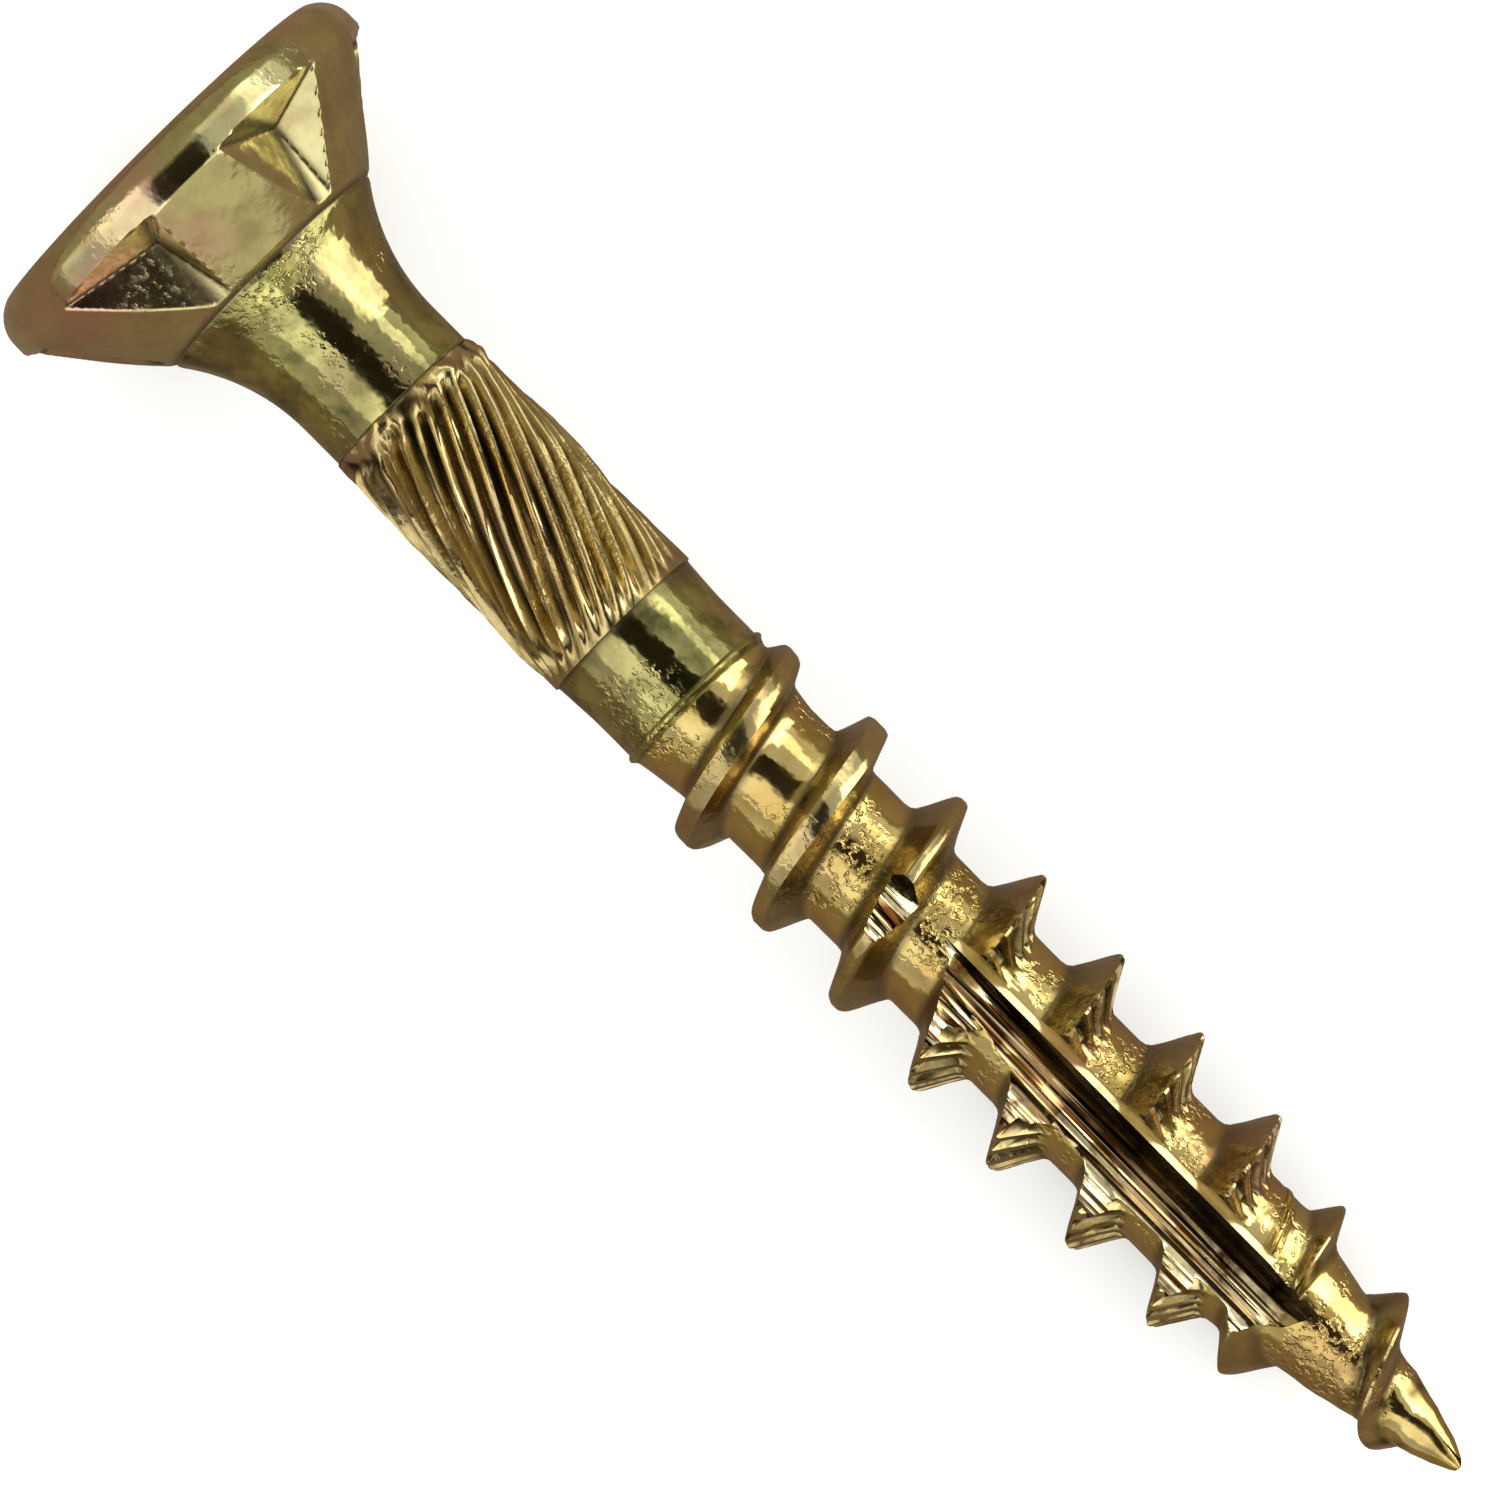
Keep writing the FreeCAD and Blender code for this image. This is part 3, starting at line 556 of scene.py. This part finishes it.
# The open fold in the tip is a thin wedge.
def buildFoldCutter():
    corners = [fold["start"], fold["lower"], fold["upper"]]
    points = [(x, y, z) for z in (fold["floor"], fold["floor"] + fold["height"]) for x, y in corners]
    faces = [(2, 1, 0), (3, 4, 5), (0, 1, 4, 3), (1, 2, 5, 4), (2, 0, 3, 5)]
    return makeObject("foldCutter", np.array(points), faces, [zoneNumber["ridgePlate"]] * len(faces))


def cutWith(target, cutter):
    cut = target.modifiers.new("cut", "BOOLEAN")
    cut.operation, cut.solver, cut.object = "DIFFERENCE", "EXACT", cutter
    cut.material_mode = "TRANSFER"
    shown = bpy.context.evaluated_depsgraph_get()
    made = bpy.data.meshes.new_from_object(target.evaluated_get(shown))
    target.modifiers.clear()
    old = target.data
    target.data = made
    bpy.data.meshes.remove(old)
    bpy.data.objects.remove(cutter)


parts = buildScrew()
screw = makeObject("zincScrew", np.array(parts.points), parts.faces, parts.zones, parts.hollow)
print("screw mesh", len(parts.points), "points", sum(len(f) - 2 for f in parts.faces), "triangles")
cutWith(screw, buildFluteCutter())
cutWith(screw, buildBevelCutter())
cutWith(screw, buildFoldCutter())
screw.data.shade_smooth()
screw.data.set_sharp_from_angle(angle=math.radians(38))
print("after the cut", len(screw.data.polygons), "faces")
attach(screw, "root")
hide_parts("wood_screw")


# The last figure of each plate sets how strongly the painted shade of its hollow attribute is laid on.
plating = {
    "headPlate": {"tone": (0.6, 0.55, 0.27), "shade": (0.44, 0.36, 0.17), "blush": (0.6, 0.4, 0.27), "rough": 0.15,
                  "grain": 0.12, "waves": 0.3, "pits": 0.2, "streaks": 0.0, "paintedshade": 0.85},
    "recessPlate": {"tone": (0.5, 0.42, 0.2), "shade": (0.32, 0.24, 0.1), "blush": (0.45, 0.32, 0.2), "rough": 0.3,
                    "grain": 0.6, "waves": 0.4, "pits": 0.5, "streaks": 0.0, "paintedshade": 0.0},
    "neckPlate": {"tone": (0.5, 0.46, 0.17), "shade": (0.1, 0.1, 0.03), "blush": (0.34, 0.27, 0.12), "rough": 0.13,
                  "grain": 0.1, "waves": 0.5, "pits": 0.9, "streaks": 0.0, "paintedshade": 0.8},
    "knurlPlate": {"tone": (0.56, 0.45, 0.2), "shade": (0.4, 0.29, 0.11), "blush": (0.5, 0.38, 0.2), "rough": 0.2,
                   "grain": 0.4, "waves": 0.4, "pits": 0.4, "streaks": 0.15, "paintedshade": 0.97},
    "rootPlate": {"tone": (0.64, 0.5, 0.19), "shade": (0.5, 0.36, 0.1), "blush": (0.56, 0.36, 0.14), "rough": 0.14,
                  "grain": 0.1, "waves": 0.55, "pits": 1.6, "streaks": 0.0, "paintedshade": 0.8},
    "ridgePlate": {"tone": (0.52, 0.42, 0.19), "shade": (0.36, 0.27, 0.1), "blush": (0.48, 0.33, 0.19), "rough": 0.18,
                   "grain": 0.2, "waves": 0.5, "pits": 0.6, "streaks": 0.0, "paintedshade": 0.9},
    # On the flute, stripes of the bright tone and the near-black shade are painted reflections of its grooves.
    "flutePlate": {"tone": (1.0, 0.84, 0.46), "shade": (0.06, 0.022, 0.006), "blush": (0.95, 0.62, 0.26), "rough": 0.13,
                   "grain": 0.05, "waves": 0.05, "pits": 0.0, "streaks": 1.0, "paintedshade": 0.0},
    # The flute wall's near-black tones are painted shade.
    "shadowedWallPlate": {"tone": (0.06, 0.035, 0.012), "shade": (0.02, 0.01, 0.004), "blush": (0.12, 0.07, 0.02),
                  "rough": 0.25, "grain": 0.3, "waves": 0.2, "pits": 0.0, "streaks": 0.6, "paintedshade": 0.0},
    "bevelPlate": {"tone": (0.78, 0.66, 0.36), "shade": (0.6, 0.48, 0.22), "blush": (0.7, 0.55, 0.3), "rough": 0.46,
                   "grain": 0.1, "waves": 0.3, "pits": 0.0, "streaks": 0.15, "paintedshade": 0.0},
}


texture = {  # scales in lumps for each metre, heights in hundredths of a millimetre
    "patchScale": 1100, "driftScale": 420, "fineScale": 9000, "waveScale": 1900, "spotScale": 520, "pitScale": 6200,
    "streakScale": 6500, "streakStretch": (90, 1, 25), "streakHeight": 3.5, "waveHeight": 5.0, "pitDepth": 2.0,
    # the first two below are the colour and the added roughness of the painted shade in crevices
    "paintedshade": (0.02, 0.012, 0.005), "creviceRough": 0.25, "pitRough": 0.15, "bumpDistance": 0.00001,
}


def groupWith(name, inputs, outputs):
    group = bpy.data.node_groups.new(name, "ShaderNodeTree")
    for label, kind, value in inputs:
        socket = group.interface.new_socket(name=label, in_out="INPUT", socket_type=kind)
        socket.default_value = value
    for label, kind in outputs:
        group.interface.new_socket(name=label, in_out="OUTPUT", socket_type=kind)
    return group, group.nodes.new("NodeGroupInput"), group.nodes.new("NodeGroupOutput")


# Links a socket, or sets a plain value, on a target socket.
def wire(tree, source, target):
    if isinstance(source, (int, float)):
        target.default_value = source
    else:
        tree.links.new(source, target)


def calc(tree, operation, first, second=0.0, third=0.0):
    node = tree.nodes.new("ShaderNodeMath")
    node.operation = operation
    for socket, value in zip(node.inputs, (first, second, third)):
        wire(tree, value, socket)
    return node.outputs[0]


# Stretches the part of a value between low and high over 0 to 1.
def spread(tree, value, low, high):
    node = tree.nodes.new("ShaderNodeMapRange")
    node.inputs["From Min"].default_value, node.inputs["From Max"].default_value = low, high
    wire(tree, value, node.inputs["Value"])
    return node.outputs["Result"]


def cloud(tree, place, scale, detail, roughness=0.5):
    node = tree.nodes.new("ShaderNodeTexNoise")
    node.inputs["Scale"].default_value = scale
    node.inputs["Detail"].default_value = detail
    node.inputs["Roughness"].default_value = roughness
    tree.links.new(place, node.inputs["Vector"])
    return node.outputs["Fac"]


def blend(tree, share, first, second):
    node = tree.nodes.new("ShaderNodeMix")
    node.data_type = "RGBA"
    for value, label in ((share, "Factor"), (first, "A"), (second, "B")):
        tree.links.new(value, node.inputs[label])
    return node.outputs["Result"]


# Uneven zinc plating: patches of three tones, stripes, painted shade in crevices from the hollow attribute, an uneven
# gloss, and a height in hundredths of a millimetre.
def makePlatingGroup():
    group, given, result = groupWith(
        "unevenPlating",
        [("Tone", "NodeSocketColor", (0.7, 0.6, 0.3, 1)), ("Shade", "NodeSocketColor", (0.4, 0.3, 0.15, 1)),
         ("Blush", "NodeSocketColor", (0.6, 0.4, 0.3, 1)), ("Roughness", "NodeSocketFloat", 0.2),
         ("Grain", "NodeSocketFloat", 0.5), ("Waves", "NodeSocketFloat", 0.5), ("Pits", "NodeSocketFloat", 1.0),
         ("Streaks", "NodeSocketFloat", 0.0), ("PaintedShade", "NodeSocketFloat", 0.6)],
        [("Color", "NodeSocketColor"), ("Roughness", "NodeSocketFloat"), ("Height", "NodeSocketFloat")])
    place = group.nodes.new("ShaderNodeTexCoord").outputs["Object"]
    patches, drift = cloud(group, place, texture["patchScale"], 5, 0.6), cloud(group, place, texture["driftScale"], 2)
    fine, waves = cloud(group, place, texture["fineScale"], 3), cloud(group, place, texture["waveScale"], 2)
    pitted = calc(group, "MULTIPLY", spread(group, cloud(group, place, texture["spotScale"], 2), 0.5, 0.62),
                  spread(group, cloud(group, place, texture["pitScale"], 2), 0.5, 0.66))
    drawn = group.nodes.new("ShaderNodeMapping")  # streaks run along the screw
    drawn.vector_type = "TEXTURE"
    drawn.inputs["Rotation"].default_value = (0, math.atan2(-along.z, along.x), 0)
    drawn.inputs["Scale"].default_value = texture["streakStretch"]
    group.links.new(place, drawn.inputs["Vector"])
    streaks = cloud(group, drawn.outputs["Vector"], texture["streakScale"], 1.5)
    streaked = calc(group, "MULTIPLY", given.outputs["Streaks"], streaks)
    # Streaks also mix stripes of the shade colour into the tone; on the flute these stripes are painted reflections of
    # its grooves.
    shaded = calc(group, "MULTIPLY", given.outputs["Streaks"], spread(group, streaks, 0.48, 0.57))
    shaded = calc(group, "MAXIMUM", shaded, spread(group, patches, 0.4, 0.66))
    toned = blend(group, shaded, given.outputs["Tone"], given.outputs["Shade"])
    toned = blend(group, spread(group, drift, 0.5, 0.72), toned, given.outputs["Blush"])
    dulled = calc(group, "SUBTRACT", given.outputs["Roughness"], 0.06)
    dulled = calc(group, "MULTIPLY_ADD", spread(group, patches, 0.3, 0.75), 0.12, dulled)
    dulled = calc(group, "MULTIPLY_ADD", pitted, texture["pitRough"], dulled)
    # Painted shade: the hollow attribute darkens the tone towards near black, and dulls the gloss, in creases, corners,
    # grooves and valleys.
    deep = group.nodes.new("ShaderNodeAttribute")
    deep.attribute_name = "hollow"
    creviceShade = calc(group, "MULTIPLY", deep.outputs["Fac"], given.outputs["PaintedShade"])
    dark = group.nodes.new("ShaderNodeRGB")
    dark.outputs[0].default_value = (*texture["paintedshade"], 1)
    toned = blend(group, creviceShade, toned, dark.outputs[0])
    dulled = calc(group, "MULTIPLY_ADD", creviceShade, texture["creviceRough"], dulled)
    height = calc(group, "MULTIPLY", fine, given.outputs["Grain"])
    height = calc(group, "MULTIPLY_ADD", streaked, texture["streakHeight"], height)
    waved = calc(group, "MULTIPLY", given.outputs["Waves"], texture["waveHeight"])
    height = calc(group, "MULTIPLY_ADD", waves, waved, height)
    sunk = calc(group, "MULTIPLY", given.outputs["Pits"], texture["pitDepth"])
    height = calc(group, "SUBTRACT", height, calc(group, "MULTIPLY", pitted, sunk))
    group.links.new(toned, result.inputs["Color"])
    group.links.new(dulled, result.inputs["Roughness"])
    group.links.new(height, result.inputs["Height"])
    return group


def makePlate(name, look, group):
    material = bpy.data.materials[name]
    material.use_nodes = True
    nodes, links = material.node_tree.nodes, material.node_tree.links
    shader = nodes["Principled BSDF"]
    shader.inputs["Metallic"].default_value = 1.0
    plate = nodes.new("ShaderNodeGroup")
    plate.node_tree = group
    for label in ("Tone", "Shade", "Blush"):
        plate.inputs[label].default_value = (*look[label.lower()], 1)
    plate.inputs["Roughness"].default_value = look["rough"]
    for label in ("Grain", "Waves", "Pits", "Streaks", "PaintedShade"):
        plate.inputs[label].default_value = look[label.lower()]
    bump = nodes.new("ShaderNodeBump")
    bump.inputs["Strength"].default_value = 1.0
    bump.inputs["Distance"].default_value = texture["bumpDistance"]
    links.new(plate.outputs["Color"], shader.inputs["Base Color"])
    links.new(plate.outputs["Roughness"], shader.inputs["Roughness"])
    links.new(plate.outputs["Height"], bump.inputs["Height"])
    links.new(bump.outputs["Normal"], shader.inputs["Normal"])


unevenPlating = makePlatingGroup()
for name, look in plating.items():
    makePlate(name, look, unevenPlating)
print("materials made")


studio = {
    "floorSize": 1.2, "floorColour": (0.9, 0.9, 0.89), "floorMirrored": (0.18, 0.13, 0.09), "aimHeight": 0.004,
    "roomLight": (1.08, 1.08, 1.07), "roomTop": (0.02, 0.014, 0.008), "horizon": (0.3, 0.27, 0.18),
    "headCard": (0.4, 0.37, 0.26), "tipCard": (0.75, 0.72, 0.58),
}
lamps = {  # lean in degrees from straight above, the rest in metres and watts
    "softboxLeft": {"lean": 49, "ahead": 0.15, "away": 0.16, "size": (0.54, 0.177), "power": 0.2},
    "softboxRight": {"lean": -46, "ahead": 0.15, "away": 0.16, "size": (0.54, 0.205), "power": 0.2},
    "tubeLeft": {"lean": 55, "ahead": 0.15, "away": 0.15, "size": (0.54, 0.035), "power": 0.085},
    "tubeRight": {"lean": -33, "ahead": 0.15, "away": 0.15, "size": (0.54, 0.085), "power": 0.13},
    "windowAhead": {"lean": 66, "ahead": 0.1, "away": 0.15, "size": (0.17, 0.13), "power": 0.17},
}
view = {
    "tilt": 7.7, "roll": 45.25, "distance": 1.1, "frameWidth": 0.0309, "headRight": -0.01221, "headUp": 0.01226,
    "sensor": 36, "near": 0.01, "far": 5,
}


# Shows one colour as lit by the room and another in the screw's reflections.
def pickByRay(tree, lit, reflected):
    rays = tree.nodes.new("ShaderNodeLightPath")
    pick = tree.nodes.new("ShaderNodeMix")
    pick.data_type = "RGBA"
    pick.inputs["A"].default_value = (*lit, 1)
    tree.links.new(rays.outputs["Is Glossy Ray"], pick.inputs["Factor"])
    if isinstance(reflected, tuple):
        pick.inputs["B"].default_value = (*reflected, 1)
    else:
        tree.links.new(reflected, pick.inputs["B"])
    return pick.outputs["Result"]


def makeFloor():
    half = studio["floorSize"] / 2
    mesh = bpy.data.meshes.new("paperFloor")
    mesh.from_pydata([(-half, -half, 0), (half, -half, 0), (half, half, 0), (-half, half, 0)], [], [(0, 1, 2, 3)])
    floor = bpy.data.objects.new("paperFloor", mesh)
    bpy.context.scene.collection.objects.link(floor)
    paper = bpy.data.materials.new("paleFloor")
    paper.use_nodes = True
    shader = paper.node_tree.nodes["Principled BSDF"]
    shader.inputs["Roughness"].default_value = 0.9
    shader.inputs["Specular IOR Level"].default_value = 0.1
    colour = pickByRay(paper.node_tree, studio["floorColour"], studio["floorMirrored"])
    paper.node_tree.links.new(colour, shader.inputs["Base Color"])
    mesh.materials.append(paper)


def addLight(name, settings):
    lean = math.radians(settings["lean"])
    spot = Vector((0, math.sin(lean), math.cos(lean))) * settings["away"] + Vector((settings["ahead"], 0, 0))
    lamp = bpy.data.lights.new(name, "AREA")
    lamp.shape, lamp.energy = "RECTANGLE", settings["power"]
    lamp.size, lamp.size_y = settings["size"]
    light = bpy.data.objects.new(name, lamp)
    bpy.context.scene.collection.objects.link(light)
    light.visible_camera = False  # from the side it would stand before the screw
    light.location = spot
    light.rotation_mode = "QUATERNION"
    target = Vector((spot.x, 0, studio["aimHeight"]))
    light.rotation_quaternion = (target - spot).to_track_quat("-Z", "Y")


def rampOver(tree, value, stops):
    ramp = tree.nodes.new("ShaderNodeValToRGB")
    while len(ramp.color_ramp.elements) < len(stops):
        ramp.color_ramp.elements.new(0.5)
    for element, (position, colour) in zip(ramp.color_ramp.elements, stops):
        element.position, element.color = position, (*colour, 1)
    tree.links.new(value, ramp.inputs["Fac"])
    return ramp.outputs["Color"]


# An even pale room, which the screw mirrors as a dark one with a card at each end.
def makeRoom():
    world = bpy.data.worlds.new("studioRoom")
    bpy.context.scene.world = world
    world.use_nodes = True
    tree = world.node_tree
    direction = tree.nodes.new("ShaderNodeTexCoord")
    split = tree.nodes.new("ShaderNodeSeparateXYZ")
    tree.links.new(direction.outputs["Generated"], split.inputs[0])
    sideways = calc(tree, "MULTIPLY_ADD", split.outputs["X"], 0.5, 0.5)
    black = (0, 0, 0)
    upright = rampOver(tree, split.outputs["Z"], [(0.15, studio["horizon"]), (0.42, studio["roomTop"])])
    cards = rampOver(
        tree, sideways, [(0.33, studio["headCard"]), (0.45, black), (0.88, black), (0.96, studio["tipCard"])])
    mirrored = tree.nodes.new("ShaderNodeMix")
    mirrored.data_type, mirrored.blend_type = "RGBA", "LIGHTEN"
    mirrored.inputs["Factor"].default_value = 1.0
    tree.links.new(upright, mirrored.inputs["A"])
    tree.links.new(cards, mirrored.inputs["B"])
    room = pickByRay(tree, studio["roomLight"], mirrored.outputs["Result"])
    tree.links.new(room, tree.nodes["Background"].inputs["Color"])


# The camera stands above the screw, which runs down to the right as in the photo.
def makeCamera():
    tilt, roll = math.radians(view["tilt"]), math.radians(view["roll"])
    toCamera = Vector((math.sin(tilt), 0, math.cos(tilt)))
    level = Vector((math.cos(tilt), 0, -math.sin(tilt)))
    right = level * math.cos(roll) + across * math.sin(roll)
    up = across * math.cos(roll) - level * math.sin(roll)
    lens = bpy.data.cameras.new("photoCamera")
    lens.sensor_width = view["sensor"]
    lens.lens = view["sensor"] / 2 / (view["frameWidth"] / 2 / view["distance"])
    lens.clip_start, lens.clip_end = view["near"], view["far"]
    camera = bpy.data.objects.new("photoCamera", lens)
    bpy.context.scene.collection.objects.link(camera)
    centre = headTop - right * view["headRight"] - up * view["headUp"]
    turnTo = Matrix((right, up, toCamera)).transposed().to_4x4()
    camera.matrix_world = Matrix.Translation(centre + toCamera * view["distance"]) @ turnTo
    bpy.context.scene.camera = camera


makeFloor()
for name, settings in lamps.items():
    addLight(name, settings)
makeRoom()
makeCamera()
bpy.context.scene.view_settings.view_transform = "Standard"
print("camera and lights set")
